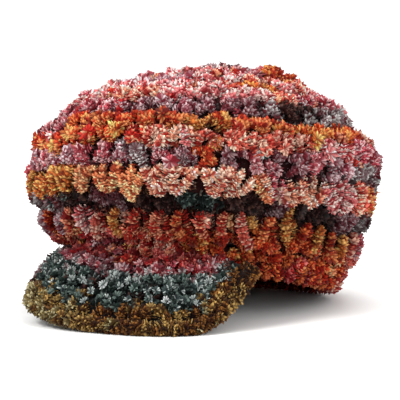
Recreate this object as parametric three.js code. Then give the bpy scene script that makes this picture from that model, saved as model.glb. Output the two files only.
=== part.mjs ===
// A puffed newsboy cap worked in the round in thick chenille yarn, lying on the front of its peak
// and the back of its band, with the opening for the head underneath.
// Units are millimetres. +Z is up, -Y is the front, where the peak is, and +X is the wearer's left.
// The origin is the middle of the cap's outline, on the surface that the cap lies on.
import * as THREE from "three";

// Driving dimensions.
const headRound = 580; // circumference inside the band
const headLongness = 1.13; // length of the opening over its width
const bandWall = 9;
const bandHeight = 18;
const bandFlare = 2; // how much further out the band's top edge lies than its bottom edge
const bandCorner = 2.5; // how far the band's edges are rounded off
const bandGroove = 1.2; // depth of the groove between the band's two tight rows
const crownWall = 8;
const seamGap = 0.3; // between pieces that are worked together
const tiltBack = THREE.MathUtils.degToRad(12); // the peak holds the front of the cap up by this angle
const rimCentreBack = 12; // the opening's middle lies this far behind the crown's axis
const restSquash = 2.6; // how far the back of the band sinks and flattens where it lies
const sideSlump = 0.0008; // rise towards the wearer's left, for each mm out and each mm up
const stepsRound = 72;
const puffsRound = stepsRound / 2; // a row's puffs, each two steps wide

const rimHalfWidth =
  (headRound / (2 * Math.PI)) * Math.sqrt(2 / (1 + headLongness ** 2)) + bandWall;
const rimHalfLength = (rimHalfWidth - bandWall) * headLongness + bandWall;
const lift =
  (rimCentreBack + rimHalfLength) * Math.sin(tiltBack) - restSquash;

// The crown's crocheted rows from the band to the closing ring, each at its lower seam. "height" is
// above the opening's plane, "back" and "left" move the row's middle off the crown's axis, "swell" is
// how far the row stands out between its seams, and "puff" how far its puffs stand out of that.
const crownRows = [
  { name: "lowest", height: 18.3, halfWide: 99, halfLong: 110, back: 11, left: 0, swell: 4, puff: 1.2 },
  { name: "recessed", height: 29, halfWide: 109, halfLong: 121, back: 7, left: -1, swell: 1.5, puff: 0.6 },
  { name: "fans", height: 43, halfWide: 114.5, halfLong: 127, back: 0, left: -1, swell: 5, puff: 1.8 },
  { name: "belly_1", height: 60, halfWide: 117, halfLong: 130, back: -5, left: 0, swell: 3, puff: 1 },
  { name: "belly_2", height: 75.5, halfWide: 120, halfLong: 133, back: -4, left: 0, swell: 3.5, puff: 1.2 },
  { name: "shoulder", height: 88, halfWide: 118, halfLong: 131, back: -4, left: 0, swell: 4, puff: 1.2 },
  { name: "turn", height: 99, halfWide: 113, halfLong: 126, back: -8, left: 0, swell: 2, puff: 0.8 },
  { name: "dome_1", height: 111, halfWide: 103, halfLong: 116, back: -10, left: -1, swell: 3, puff: 1 },
  { name: "dome_2", height: 121.5, halfWide: 90, halfLong: 101, back: -9, left: -1, swell: 2.5, puff: 0.8 },
  { name: "dome_3", height: 130, halfWide: 76, halfLong: 86, back: -8, left: -1, swell: 2.5, puff: 0.8 },
  { name: "dome_4", height: 137, halfWide: 62, halfLong: 70, back: -5, left: 0, swell: 2.5, puff: 0.8 },
  { name: "dome_5", height: 142, halfWide: 48, halfLong: 53, back: 0, left: 2, swell: 2, puff: 0.6 },
  { name: "dome_6", height: 145.5, halfWide: 33, halfLong: 37, back: 6, left: 6, swell: 2, puff: 0.4 },
  { name: "dome_7", height: 148, halfWide: 19, halfLong: 21, back: 11, left: 10, swell: 2, puff: 0 },
  { name: "closing", height: 150, halfWide: 5, halfLong: 5, back: 15, left: 13, swell: 0, puff: 0 },
];
const swellShoulders = [0.28, 0.72]; // where between two seams a row reaches its full swell

// Soft hollows in the crown. "angle" is round from the front towards the wearer's left, in degrees.
const dents = [
  { name: "left_dome", angle: 62, height: 106, wide: 20, tall: 9, depth: 6 },
  { name: "left_under", angle: 88, height: 47, wide: 14, tall: 10, depth: 2.5 },
  { name: "back_ledge", angle: 122, height: 38, wide: 26, tall: 12, depth: 3 },
  { name: "front_under", angle: 18, height: 34, wide: 40, tall: 8, depth: 3 },
  { name: "right_dome", angle: -78, height: 112, wide: 34, tall: 10, depth: 4 },
  { name: "back_slump", angle: 180, height: 70, wide: 40, tall: 16, depth: 5 },
];

// The peak: a bent soft sheet from the band's front down to the surface.
const peakWall = 8;
const peakHalfAngle = 40; // the peak's root reaches this far round the band on either side, in degrees
const peakRootLow = 0.5; // the root's lower and upper edge on the band's outer face
const peakRootHigh = 10.5;
const peakHalfWidth = 79;
const peakFront = -148; // the outer edge's foremost line, from the crown's axis
const peakShoulder = -66; // where the outer edge turns back to the band
const peakSquareness = 2.8; // 2 would give a half ellipse, and more gives squarer corners
const rightCornerRise = 13; // how far the corner on the wearer's right curls up off the surface
const rightRiseFrom = 8; // it curls up from here on, towards the wearer's right
const sideRise = 36; // how much higher the outer edge lies at its ends than at the front
const sideRiseFrom = -130;
const sideRisePower = 1.4;
const peakSteps = 6; // from the root to the outer edge
const peakBow = 0.14; // how far the sheet bows up, as a share of the way from root to outer edge
const peakBendAt = 0.4; // where it bows most, from its root at 0 to its outer edge at 1

// The edging worked round the peak.
const edgingHalfWide = 6.5;
const edgingHalfThick = 5.2;
const edgingSides = 8;
const edgingSink = 1; // how far its underside flattens where it lies on the surface
const edgingEndClear = 8; // from the middle of the edging's ends to the band's outer face
const edgingRootTurn = 5; // the edging's ends lie this far past the peak's root, in degrees

const { sin, cos, sign, abs, PI } = Math;
const radians = THREE.MathUtils.degToRad;

// A point of the cap's own frame, where "height" is measured square to the opening, as it lies.
function lying(x, y, height) {
  return new THREE.Vector3(
    x,
    y * cos(tiltBack) + height * sin(tiltBack),
    -y * sin(tiltBack) + height * cos(tiltBack) + lift + sideSlump * x * height,
  );
}

// Nothing reaches through the surface: the soft knit flattens there.
function flattened(point) {
  point.z = Math.max(0, point.z);
  return point;
}

// Lofts closed loops of points into one closed body. Its ends are closed by fans, or joined.
function loft(loops, ring = false) {
  const size = loops[0].length;
  const positions = loops.flat().flatMap((p) => [p.x, p.y, p.z]);
  const faces = [];
  const spans = ring ? loops.length : loops.length - 1;
  for (let i = 0; i < spans; i++) {
    const next = (i + 1) % loops.length;
    for (let j = 0; j < size; j++) {
      const a = i * size + j;
      const b = i * size + ((j + 1) % size);
      const c = next * size + ((j + 1) % size);
      const d = next * size + j;
      faces.push(a, b, c, a, c, d);
    }
  }
  if (!ring) {
    for (const [loop, first] of [[loops.at(0), 0], [loops.at(-1), (loops.length - 1) * size]]) {
      const middle = loop
        .reduce((sum, p) => sum.add(p), new THREE.Vector3())
        .divideScalar(size);
      const tip = positions.length / 3;
      positions.push(middle.x, middle.y, middle.z);
      for (let j = 0; j < size; j++) {
        const here = first + j;
        const there = first + ((j + 1) % size);
        faces.push(...(first ? [here, there, tip] : [there, here, tip]));
      }
    }
  }
  if (volumeOf(positions, faces) < 0) faces.reverse();
  const geometry = new THREE.BufferGeometry();
  geometry.setAttribute("position", new THREE.Float32BufferAttribute(positions, 3));
  geometry.setIndex(faces);
  geometry.computeVertexNormals();
  return geometry;
}

function volumeOf(positions, faces) {
  const corner = (i) => new THREE.Vector3().fromArray(positions, 3 * faces[i]);
  let sixfold = 0;
  for (let i = 0; i < faces.length; i += 3)
    sixfold += corner(i).dot(corner(i + 1).cross(corner(i + 2)));
  return sixfold / 6;
}

const anglesRound = Array.from({ length: stepsRound }, (_, i) => (2 * PI * i) / stepsRound);

// How far a dent takes the crown in at an angle and a height.
function dentDepth(angle, height) {
  let depth = 0;
  for (const dent of dents) {
    const turn = THREE.MathUtils.radToDeg(angle) - dent.angle;
    const aside = (((turn % 360) + 540) % 360) - 180;
    const up = height - dent.height;
    depth += dent.depth * Math.exp(-((aside / dent.wide) ** 2) - (up / dent.tall) ** 2);
  }
  return depth;
}

// One ring of the crown, moved along the profile's normal (outwards, upwards) by "out" at an angle.
function crownRing(row, outAt, normal) {
  return anglesRound.map((angle) => {
    const out = outAt(angle);
    const grow = out * normal.x - dentDepth(angle, row.height);
    const x = row.left + (row.halfWide + grow) * sin(angle);
    const y = row.back - (row.halfLong + grow) * cos(angle);
    return lying(x, y, row.height + out * normal.y);
  });
}

function between(a, b, share) {
  const mixed = {};
  for (const key of ["height", "halfWide", "halfLong", "back", "left"])
    mixed[key] = THREE.MathUtils.lerp(a[key], b[key], share);
  return mixed;
}

function profileNormal(a, b) {
  return new THREE.Vector2(b.height - a.height, a.halfWide - b.halfWide).normalize();
}

function crownGeometry() {
  const last = crownRows.length - 1;
  const spanNormals = crownRows.slice(0, last).map((row, i) => profileNormal(row, crownRows[i + 1]));
  const outer = [];
  const inner = [];
  crownRows.forEach((row, i) => {
    const below = spanNormals[Math.max(i - 1, 0)];
    const above = spanNormals[Math.min(i, last - 1)];
    const normal = below.clone().add(above).normalize();
    // The wall's lower edge is cut square to the band that it stands on.
    const edge = i === 0 ? new THREE.Vector2(1, 0) : normal;
    outer.push(crownRing(row, () => 0, edge));
    if (i === last) return;
    // Each row's puffs sit over the gaps between the puffs of the row below.
    const stagger = i % 2 ? 0 : PI;
    const puffed = (angle) => row.swell + row.puff * cos(puffsRound * angle + stagger);
    for (const share of swellShoulders)
      outer.push(crownRing(between(row, crownRows[i + 1], share), puffed, above));
    inner.push(crownRing(row, () => -crownWall, edge));
  });
  return loft([...outer.reverse(), ...inner]);
}

// The opening's outline at a height of the band, moved out by "out".
function bandPoint(angle, height, out) {
  const grow = out + (bandFlare * height) / bandHeight;
  return [
    (rimHalfWidth + grow) * sin(angle),
    rimCentreBack - (rimHalfLength + grow) * cos(angle),
    height,
  ];
}

function bandGeometry() {
  const middle = bandHeight / 2;
  const section = [
    [0, bandCorner],
    [0, middle - bandCorner],
    [-bandGroove, middle],
    [0, middle + bandCorner],
    [0, bandHeight - bandCorner],
    [-bandCorner, bandHeight],
    [-bandWall + bandCorner, bandHeight],
    [-bandWall, bandHeight - bandCorner],
    [-bandWall, bandCorner],
    [-bandWall + bandCorner, 0],
    [-bandCorner, 0],
  ];
  const loops = anglesRound.map((angle) =>
    section.map(([out, height]) => flattened(lying(...bandPoint(angle, height, out)))),
  );
  return loft(loops, true);
}

// The middle line of the edging. "turn" goes from -90 at the wearer's right to 90 at the left.
function edgeLine(turn) {
  const power = 2 / peakSquareness;
  const x = peakHalfWidth * sign(sin(turn)) * abs(sin(turn)) ** power;
  const y = peakShoulder + (peakFront - peakShoulder) * abs(cos(turn)) ** power;
  const share = Math.max(0, (y - sideRiseFrom) / (peakShoulder - sideRiseFrom));
  const aside = Math.max(0, (rightRiseFrom - x) / (rightRiseFrom + peakHalfWidth));
  const curl = rightCornerRise * aside ** 1.5 * (1 - share);
  const low = edgingHalfThick - edgingSink;
  return new THREE.Vector3(x, y, low + curl + sideRise * share ** sideRisePower);
}

// The peak's stations stand at the band's own facets, so that the two pieces meet closely.
const peakSpans = (2 * peakHalfAngle * stepsRound) / 360;
const peakStations = Array.from({ length: peakSpans + 1 }, (_, i) => {
  const share = (2 * i) / peakSpans - 1;
  return { root: radians(peakHalfAngle * share), turn: (PI / 2) * share };
});

const rootPoint = (root, height) => lying(...bandPoint(root, height, seamGap));
const rootMiddle = (root) => rootPoint(root, (peakRootLow + peakRootHigh) / 2);

// Where the sheet of the peak meets its edging at a station: the edging's middle line, the way that
// it runs, and the way back up into the sheet.
function edgeFrame({ root, turn }) {
  const step = 0.02;
  const after = edgeLine(Math.min(turn + step, PI / 2));
  const along = after.sub(edgeLine(Math.max(turn - step, -PI / 2))).normalize();
  const at = edgeLine(turn);
  const bend = rootMiddle(root).lerp(at, peakBendAt);
  bend.z += peakBow * rootMiddle(root).distanceTo(at);
  const inward = bend.clone().sub(at).projectOnPlane(along).normalize();
  return { at, along, bend, inward };
}

// The sheet's middle line at a station, from the band to the edging.
function peakLine(station) {
  const { at, bend, inward } = edgeFrame(station);
  const end = at.addScaledVector(inward, edgingHalfWide + seamGap);
  const path = new THREE.QuadraticBezierCurve3(rootMiddle(station.root), bend, end);
  return Array.from({ length: peakSteps + 1 }, (_, i) => path.getPoint(i / peakSteps));
}

function peakGeometry() {
  const lines = peakStations.map(peakLine);
  const near = (list, i) => list[THREE.MathUtils.clamp(i, 0, list.length - 1)];
  const loops = lines.map((line, i) => {
    const { root } = peakStations[i];
    const top = [rootPoint(root, peakRootHigh)];
    const under = [rootPoint(root, peakRootLow)];
    for (let j = 1; j <= peakSteps; j++) {
      const outwards = near(line, j + 1).clone().sub(line[j - 1]);
      const across = near(lines, i + 1)[j].clone().sub(near(lines, i - 1)[j]);
      const up = outwards.cross(across).normalize();
      if (up.z < 0) up.negate();
      top.push(line[j].clone().addScaledVector(up, peakWall / 2));
      under.push(flattened(line[j].clone().addScaledVector(up, -peakWall / 2)));
    }
    return [...top, ...under.reverse()];
  });
  return loft(loops);
}

// The edging follows the peak's outer edge and runs on from its two ends to the band.
function edgingGeometry() {
  const frames = peakStations.map(edgeFrame);
  const height = (peakRootLow + peakRootHigh) / 2;
  const endFrame = (frame, side) => {
    const angle = side * radians(peakHalfAngle + edgingRootTurn);
    const at = lying(...bandPoint(angle, height, edgingEndClear));
    const along = frame.at.clone().sub(at).multiplyScalar(-side).normalize();
    return { at, along, inward: frame.inward.clone().projectOnPlane(along).normalize() };
  };
  frames.unshift(endFrame(frames.at(0), -1));
  frames.push(endFrame(frames.at(-1), 1));
  const loops = frames.map(({ at, along, inward }) => {
    const up = inward.clone().cross(along);
    return Array.from({ length: edgingSides }, (_, k) => {
      const round = (2 * PI * (k + 0.5)) / edgingSides;
      return flattened(
        at
          .clone()
          .addScaledVector(inward, edgingHalfWide * cos(round))
          .addScaledVector(up, edgingHalfThick * sin(round)),
      );
    });
  });
  return loft(loops);
}

function piece(name, geometry, color, roughness) {
  const material = new THREE.MeshStandardMaterial({ color, roughness, metalness: 0 });
  const mesh = new THREE.Mesh(geometry, material);
  mesh.name = name;
  return mesh;
}

const cap = new THREE.Group();
cap.add(
  piece("crown", crownGeometry(), 0x8a4a4a, 0.95),
  piece("band", bandGeometry(), 0x7a2f22, 0.95),
  piece("peak", peakGeometry(), 0x3f4a4c, 0.95),
  piece("peak_edging", edgingGeometry(), 0x6f4f1e, 0.95),
);

// The origin is put under the middle of the cap.
const outline = new THREE.Box3().setFromObject(cap);
const centre = outline.getCenter(new THREE.Vector3());
cap.position.set(-centre.x, -centre.y, -outline.min.z);

export default cap;
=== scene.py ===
from math import cos, pi, radians, sin

import bpy
import numpy as np
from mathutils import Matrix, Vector
from mathutils.bvhtree import BVHTree


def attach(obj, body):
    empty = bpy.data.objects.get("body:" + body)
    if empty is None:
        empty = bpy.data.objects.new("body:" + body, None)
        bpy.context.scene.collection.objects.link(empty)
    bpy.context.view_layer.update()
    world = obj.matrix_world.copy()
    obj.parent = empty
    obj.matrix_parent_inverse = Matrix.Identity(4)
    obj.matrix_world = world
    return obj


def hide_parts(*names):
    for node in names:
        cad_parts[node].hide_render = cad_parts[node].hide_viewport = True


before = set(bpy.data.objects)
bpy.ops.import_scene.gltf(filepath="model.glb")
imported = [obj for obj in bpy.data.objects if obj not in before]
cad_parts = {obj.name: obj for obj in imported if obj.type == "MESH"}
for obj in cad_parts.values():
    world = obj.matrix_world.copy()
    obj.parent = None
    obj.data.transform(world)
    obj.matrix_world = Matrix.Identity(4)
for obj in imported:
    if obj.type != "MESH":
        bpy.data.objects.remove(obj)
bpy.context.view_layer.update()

# A newsboy cap worked in the round in thick chenille yarn. It lies on its peak and the back of its
# band. Every strand is a row of small pile discs, and strands make the stitches of each round.
print("frame loaded")

rng = np.random.default_rng(1)

# the opening for the head and how the cap lies, as in the frame
rim = {
    "halfWide": 0.09552, "halfLong": 0.10676, "back": 0.012,  # outside of the band's lower edge
    "height": 0.018, "flare": 0.002, "wall": 0.009,
    "tilt": radians(12), "squash": 0.0026, "slump": 0.8, "shift": 0.00433,
}
rim["lift"] = (rim["back"] + rim["halfLong"]) * sin(rim["tilt"]) - rim["squash"]

# chenille colours, four to a yarn: the brightest pile, partly lighter fibres and partly a painted
# highlight; the yarn's own colour; a darker tone of painted shade; and the nearly black painted
# shade at the strand's core
yarns = {
    "cream": [(1.00, 0.87, 0.77), (0.94, 0.64, 0.51), (0.56, 0.18, 0.14), (0.17, 0.02, 0.02)],
    "peach": [(0.98, 0.78, 0.57), (0.90, 0.54, 0.36), (0.52, 0.20, 0.12), (0.15, 0.03, 0.01)],
    "gold": [(0.97, 0.73, 0.42), (0.80, 0.43, 0.20), (0.46, 0.17, 0.07), (0.15, 0.03, 0.01)],
    "flame": [(0.98, 0.67, 0.36), (0.86, 0.38, 0.18), (0.55, 0.14, 0.07), (0.17, 0.03, 0.01)],
    "ember": [(0.95, 0.59, 0.36), (0.79, 0.26, 0.14), (0.46, 0.08, 0.05), (0.14, 0.01, 0.01)],
    "rust": [(0.88, 0.45, 0.24), (0.66, 0.17, 0.08), (0.41, 0.04, 0.02), (0.13, 0.01, 0.01)],
    "scarlet": [(0.98, 0.63, 0.48), (0.75, 0.19, 0.14), (0.46, 0.06, 0.05), (0.15, 0.01, 0.01)],
    "coral": [(0.99, 0.78, 0.68), (0.86, 0.41, 0.34), (0.54, 0.12, 0.10), (0.17, 0.01, 0.02)],
    "blush": [(1.00, 0.86, 0.82), (0.88, 0.49, 0.49), (0.54, 0.15, 0.16), (0.17, 0.02, 0.03)],
    "rose": [(0.92, 0.71, 0.71), (0.72, 0.32, 0.36), (0.44, 0.10, 0.13), (0.13, 0.02, 0.04)],
    "lilac": [(0.88, 0.78, 0.79), (0.66, 0.44, 0.47), (0.46, 0.14, 0.19), (0.12, 0.03, 0.04)],
    "crimson": [(0.84, 0.42, 0.39), (0.62, 0.08, 0.10), (0.40, 0.01, 0.03), (0.12, 0.01, 0.01)],
    "plum": [(0.72, 0.60, 0.61), (0.48, 0.27, 0.30), (0.34, 0.08, 0.11), (0.08, 0.02, 0.03)],
    "smoke": [(0.76, 0.75, 0.74), (0.46, 0.39, 0.40), (0.34, 0.13, 0.15), (0.07, 0.03, 0.03)],
    "night": [(0.42, 0.28, 0.25), (0.19, 0.06, 0.05), (0.11, 0.02, 0.02), (0.03, 0.01, 0.01)],
    "teal": [(0.48, 0.55, 0.52), (0.16, 0.22, 0.20), (0.05, 0.09, 0.08), (0.01, 0.02, 0.02)],
    "slate": [(0.84, 0.88, 0.86), (0.29, 0.35, 0.34), (0.08, 0.12, 0.12), (0.01, 0.02, 0.02)],
    "olive": [(0.82, 0.66, 0.38), (0.44, 0.30, 0.14), (0.20, 0.11, 0.05), (0.05, 0.02, 0.01)],
    "moss": [(0.84, 0.79, 0.60), (0.56, 0.48, 0.29), (0.29, 0.21, 0.10), (0.08, 0.05, 0.02)],
    "umber": [(0.64, 0.42, 0.20), (0.32, 0.17, 0.07), (0.15, 0.06, 0.03), (0.04, 0.01, 0.01)],
}
yarnNames = list(yarns)


# undoes the curve of screen colours
def toLinear(colour):
    c = np.array(colour, float)
    return np.where(c <= 0.04045, c / 12.92, ((c + 0.055) / 1.055) ** 2.4)


yarnTonesLitAndShaded = toLinear([yarns[name] for name in yarnNames])


def deselectAll():
    if bpy.context.object and bpy.context.object.mode != "OBJECT":
        bpy.ops.object.mode_set(mode="OBJECT")
    bpy.ops.object.select_all(action="DESELECT")


def makeActive(obj):
    deselectAll()
    obj.select_set(True)
    bpy.context.view_layer.objects.active = obj


tiny = 1e-9  # a shorter length counts as none


def unit(a):
    return a / max(np.linalg.norm(a), tiny)


# a point of the cap's own frame, with height square to the opening, as it lies
def lying(x, y, height):
    t = rim["tilt"]
    up = -y * sin(t) + height * cos(t) + rim["lift"] + rim["slump"] * x * height
    return np.array([x, y * cos(t) + height * sin(t) + rim["shift"], up])


def treeOf(node):
    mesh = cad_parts[node].data
    corners = [v.co.copy() for v in mesh.vertices]
    return BVHTree.FromPolygons(corners, [tuple(p.vertices) for p in mesh.polygons])


# One turn of pile round the strand's core: a disc of six petals. A rosette is the same pile seen
# from the end, pleated round its middle.
disc = {
    "petals": 6, "valley": 0.72, "core": 0.21, "petalSpread": 0.09, "ownTone": 0.22, "sweep": 0.28,
}
rosette = {
    "pleats": 10, "valley": 0.80, "rise": 0.16, "sink": 0.24, "depth": 0.7, "petalSpread": 0.2,
    "ownTone": 0.7, "sweep": 0.0,
}
# both reach out by one unit: nearer than "core" lies the core, and further than "tip" lie the tips;
# "slack" keeps a tip in its own petal where its angle comes out a hair short
shapeReach = {"core": 0.3, "tip": 0.95, "weld": 0.001, "slack": 0.001}


def chooseVerts(obj, wanted):
    bpy.ops.object.mode_set(mode="EDIT")
    bpy.ops.mesh.select_mode(type="VERT")
    bpy.ops.mesh.select_all(action="DESELECT")
    bpy.ops.object.mode_set(mode="OBJECT")
    for vertex in obj.data.vertices:
        vertex.select = wanted(vertex.co)
    bpy.ops.object.mode_set(mode="EDIT")


# every second corner of the rim is a valley between two petals
def inValley(co, columns):
    return round(np.arctan2(co.y, co.x) / (2 * pi / columns)) % 2 == 1


def nearCore(co):
    return co.xy.length < shapeReach["core"]


def takeShape(settings, petals):
    made = bpy.context.object
    bpy.ops.mesh.select_all(action="SELECT")
    bpy.ops.mesh.remove_doubles(threshold=shapeReach["weld"])
    bpy.ops.mesh.quads_convert_to_tris()
    bpy.ops.mesh.normals_make_consistent(inside=False)
    bpy.ops.object.mode_set(mode="OBJECT")
    corners = np.array([v.co[:] for v in made.data.vertices])
    faces = np.array([p.vertices[:] for p in made.data.polygons])
    bpy.ops.object.delete()
    reach = np.hypot(corners[:, 0], corners[:, 1])
    inner = np.where(reach > shapeReach["core"], 1, 2)
    part = np.where(reach > shapeReach["tip"], 0, inner)  # tip, valley, core
    turn = np.arctan2(corners[:, 1], corners[:, 0]) / (2 * pi / petals)
    petal = np.floor(turn + shapeReach["slack"]).astype(int) % petals
    print("pile shape:", len(corners), "corners,", len(faces), "faces")
    return {"corners": corners, "faces": faces, "part": part, "petal": petal, "settings": settings}


def modelDisc():
    deselectAll()
    columns = 2 * disc["petals"]
    bpy.ops.mesh.primitive_circle_add(vertices=columns, fill_type="TRIFAN", location=(0, 0, 0))
    obj = bpy.context.object
    obj.name = "pile_disc"
    chooseVerts(obj, lambda co: not nearCore(co) and inValley(co, columns))
    bpy.ops.transform.resize(value=(disc["valley"], disc["valley"], 1))
    chooseVerts(obj, nearCore)
    bpy.ops.transform.translate(value=(0, 0, disc["core"]))
    bpy.ops.object.mode_set(mode="OBJECT")
    otherSide = obj.modifiers.new("otherSide", "MIRROR")
    otherSide.use_axis = (False, False, True)
    otherSide.merge_threshold = shapeReach["weld"]
    bpy.ops.object.modifier_apply(modifier=otherSide.name)
    bpy.ops.object.mode_set(mode="EDIT")
    return takeShape(disc, disc["petals"])


def modelRosette():
    deselectAll()
    columns = 2 * rosette["pleats"]
    bpy.ops.mesh.primitive_cone_add(
        vertices=columns, radius1=1.0, radius2=0, depth=rosette["depth"], end_fill_type="TRIFAN",
        location=(0, 0, 0), rotation=(pi, 0, 0)
    )
    bpy.ops.object.transform_apply(location=True, rotation=True, scale=True)
    obj = bpy.context.object
    obj.name = "rosette"
    chooseVerts(obj, lambda co: not nearCore(co) and inValley(co, columns))
    bpy.ops.transform.resize(value=(rosette["valley"], rosette["valley"], 1))
    chooseVerts(obj, lambda co: not nearCore(co) and not inValley(co, columns))
    bpy.ops.transform.translate(value=(0, 0, rosette["rise"]))
    chooseVerts(obj, lambda co: nearCore(co) and co.z > 0)
    bpy.ops.transform.translate(value=(0, 0, -rosette["sink"]))
    return takeShape(rosette, rosette["pleats"])


pileDisc = modelDisc()
rosetteDisc = modelRosette()

# how the pile is set along a strand, in the strand's radius, and how far its colour wanders; "bright"
# and "dull" are the odds of a yarn's first two tones, and "valleyMix" and "coreMix" blend in the
# painted shade of the valleys and the core
pileHabit = {
    "pitch": 0.55, "fewest": 3, "blunt": 0.5, "worn": 5, "radiusSpread": 0.08, "lean": 0.12,
    "shift": 0.08, "twist": 0.24, "turned": 0.08, "turnedTwist": 2.0, "strandGlow": 0.12,
    "discGlow": 0.15, "petalGlow": 0.10, "bright": (0.54, 0.34), "dull": (0.28, 0.42), "stray": 0.3,
    "valleyMix": (0.20, 0.54), "coreMix": (0.38, 0.50), "floor": 0.0002,
}
capMiddle = np.array([0.0, 0.01, 0.07])


# Collects the discs of many strands, to be made into one mesh
def newPile():
    return {k: [] for k in ("at", "along", "facing", "radius", "yarn", "bright", "glow")}


# A strand follows a Bezier curve with four world points. Its pile is worn down over its first and
# last fifth, and one petal of each disc points away from the middle of the cap, or along facing.
def addStrand(pile, points, radius, yarn, facing=None, spacing=1.0, shade=1.0):
    p = np.asarray(points, float)
    length = np.linalg.norm(np.diff(p, axis=0), axis=1).sum()
    pitch = radius * pileHabit["pitch"] * spacing
    count = max(pileHabit["fewest"], int(round(length / pitch)))
    t = (np.arange(count) + 0.5) / count
    s = 1 - t
    at = (
        (s**3)[:, None] * p[0] + (3 * s * s * t)[:, None] * p[1]
        + (3 * s * t * t)[:, None] * p[2] + (t**3)[:, None] * p[3]
    )
    along = (
        (s * s)[:, None] * (p[1] - p[0]) + (2 * s * t)[:, None] * (p[2] - p[1])
        + (t * t)[:, None] * (p[3] - p[2])
    )
    along /= np.maximum(np.linalg.norm(along, axis=1, keepdims=True), tiny)
    blunt = pileHabit["blunt"]
    full = np.minimum(1, blunt + (1 - blunt) * np.minimum(t, s) * pileHabit["worn"])
    pile["at"].append(at)
    pile["along"].append(along)
    outward = at - capMiddle if facing is None else np.tile(facing, (count, 1))
    pile["facing"].append(outward / np.linalg.norm(outward, axis=1, keepdims=True))
    pile["radius"].append(radius * full * rng.normal(1, pileHabit["radiusSpread"], count))
    pile["yarn"].append(np.full(count, yarnNames.index(yarn)))
    pile["bright"].append((np.arange(count) % 2 == 0) ^ (rng.random(count) < pileHabit["stray"]))
    pile["glow"].append(np.full(count, rng.normal(shade, pileHabit["strandGlow"] * shade)))


def buildPile(name, pile, shape, replaced, slot):
    at, along, facing, radius, yarn, bright, glow = (np.concatenate(v) for v in pile.values())
    corners, faces, part, petal = (shape[k] for k in ("corners", "faces", "part", "petal"))
    count, size, petals = len(at), len(corners), petal.max() + 1
    settings = shape["settings"]
    # each disc leans a little and is twisted a little, and a few are turned by chance
    along = along + pileHabit["lean"] * rng.normal(size=(count, 3))
    along /= np.linalg.norm(along, axis=1, keepdims=True)
    turned = rng.random(count) < pileHabit["turned"]
    twist = np.where(turned, pileHabit["turnedTwist"], pileHabit["twist"])
    side = facing + twist[:, None] * rng.normal(size=(count, 3))
    side -= (side * along).sum(1, keepdims=True) * along
    side /= np.linalg.norm(side, axis=1, keepdims=True)
    cross = np.cross(along, side)
    reach = rng.normal(1, settings["petalSpread"], (count, petals))[:, petal]
    reach = np.where(part < 2, reach, 1) * radius[:, None]
    shift = pileHabit["shift"] * rng.normal(size=(count, petals))[:, petal] * (part < 2)
    x = corners[:, 0] * reach
    y = corners[:, 1] * reach
    z = (corners[:, 2] + shift + settings["sweep"] * (part == 0)) * radius[:, None]
    placed = (
        at[:, None] + side[:, None] * x[..., None] + cross[:, None] * y[..., None]
        + along[:, None] * z[..., None]
    ).reshape(-1, 3)
    placed[:, 2] = np.maximum(placed[:, 2], pileHabit["floor"])  # the pile flattens on the floor
    allFaces = (faces[None] + (np.arange(count) * size)[:, None, None]).reshape(-1, 3)
    # a disc takes one of its yarn's tones, and some petals another; painted shade makes it darker in
    # the valleys and nearly black at the core
    own = rng.random((count, petals)) < settings["ownTone"]
    chance = np.where(own, rng.random((count, petals)), rng.random((count, 1)))
    odds = np.where(bright[:, None], [pileHabit["bright"]], [pileHabit["dull"]])
    tone = (chance > odds[:, :1]).astype(int) + (chance > odds.sum(1, keepdims=True))
    tip = yarnTonesLitAndShaded[yarn[:, None], tone]
    tip = tip * glow[:, None, None] * rng.normal(1, pileHabit["discGlow"], (count, 1, 1))
    tip = tip * rng.normal(1, pileHabit["petalGlow"], (count, petals, 1))
    deep = yarnTonesLitAndShaded[yarn, 2][:, None] * glow[:, None, None]
    core = yarnTonesLitAndShaded[yarn, 3][:, None] * glow[:, None, None]
    tip = tip[:, petal]
    valley = pileHabit["valleyMix"][0] * tip + pileHabit["valleyMix"][1] * deep
    core = pileHabit["coreMix"][0] * deep + pileHabit["coreMix"][1] * core
    where = part[None, :, None]
    tones = np.where(where == 0, tip, np.where(where == 1, valley, core))
    obj = meshFrom(name, placed, allFaces, tones.reshape(-1, 3))
    obj.data.materials.append(chenille(slot))
    finishPiece(obj, replaced)


def paintYarnAndShade(mesh, tones):
    layer = mesh.color_attributes.new("yarn", "FLOAT_COLOR", "POINT")
    rgba = np.ones((len(mesh.vertices), 4), np.float32)
    rgba[:, :3] = np.clip(tones, 0, 1)
    layer.data.foreach_set("color", rgba.ravel())


def meshFrom(name, corners, faces, tones):
    mesh = bpy.data.meshes.new(name)
    mesh.vertices.add(len(corners))
    mesh.vertices.foreach_set("co", corners.astype(np.float32).ravel())
    mesh.loops.add(faces.size)
    mesh.loops.foreach_set("vertex_index", faces.astype(np.int32).ravel())
    mesh.polygons.add(len(faces))
    mesh.polygons.foreach_set("loop_start", np.arange(0, faces.size, 3, dtype=np.int32))
    mesh.update(calc_edges=True)
    paintYarnAndShade(mesh, tones)
    obj = bpy.data.objects.new(name, mesh)
    bpy.context.scene.collection.objects.link(obj)
    return obj


def finishPiece(obj, replaced):
    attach(obj, "root")
    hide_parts(replaced)
    print(obj.name, len(obj.data.polygons), "faces")


# Chenille: the yarn's colours with their painted highlight and painted shade, with finer pile as
# bump and a soft sheen.
pileFinish = {
    "roughness": 0.8, "specular": 0.06, "sheen": 0.03, "sheenRoughness": 0.5, "fine": 1300.0,
    "detail": 2.0, "noiseFrom": (0.3, 0.7), "noiseTo": (0.72, 1.24), "bump": 0.25,
    "bumpDistance": 0.0006,
}
finishes = {}


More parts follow.
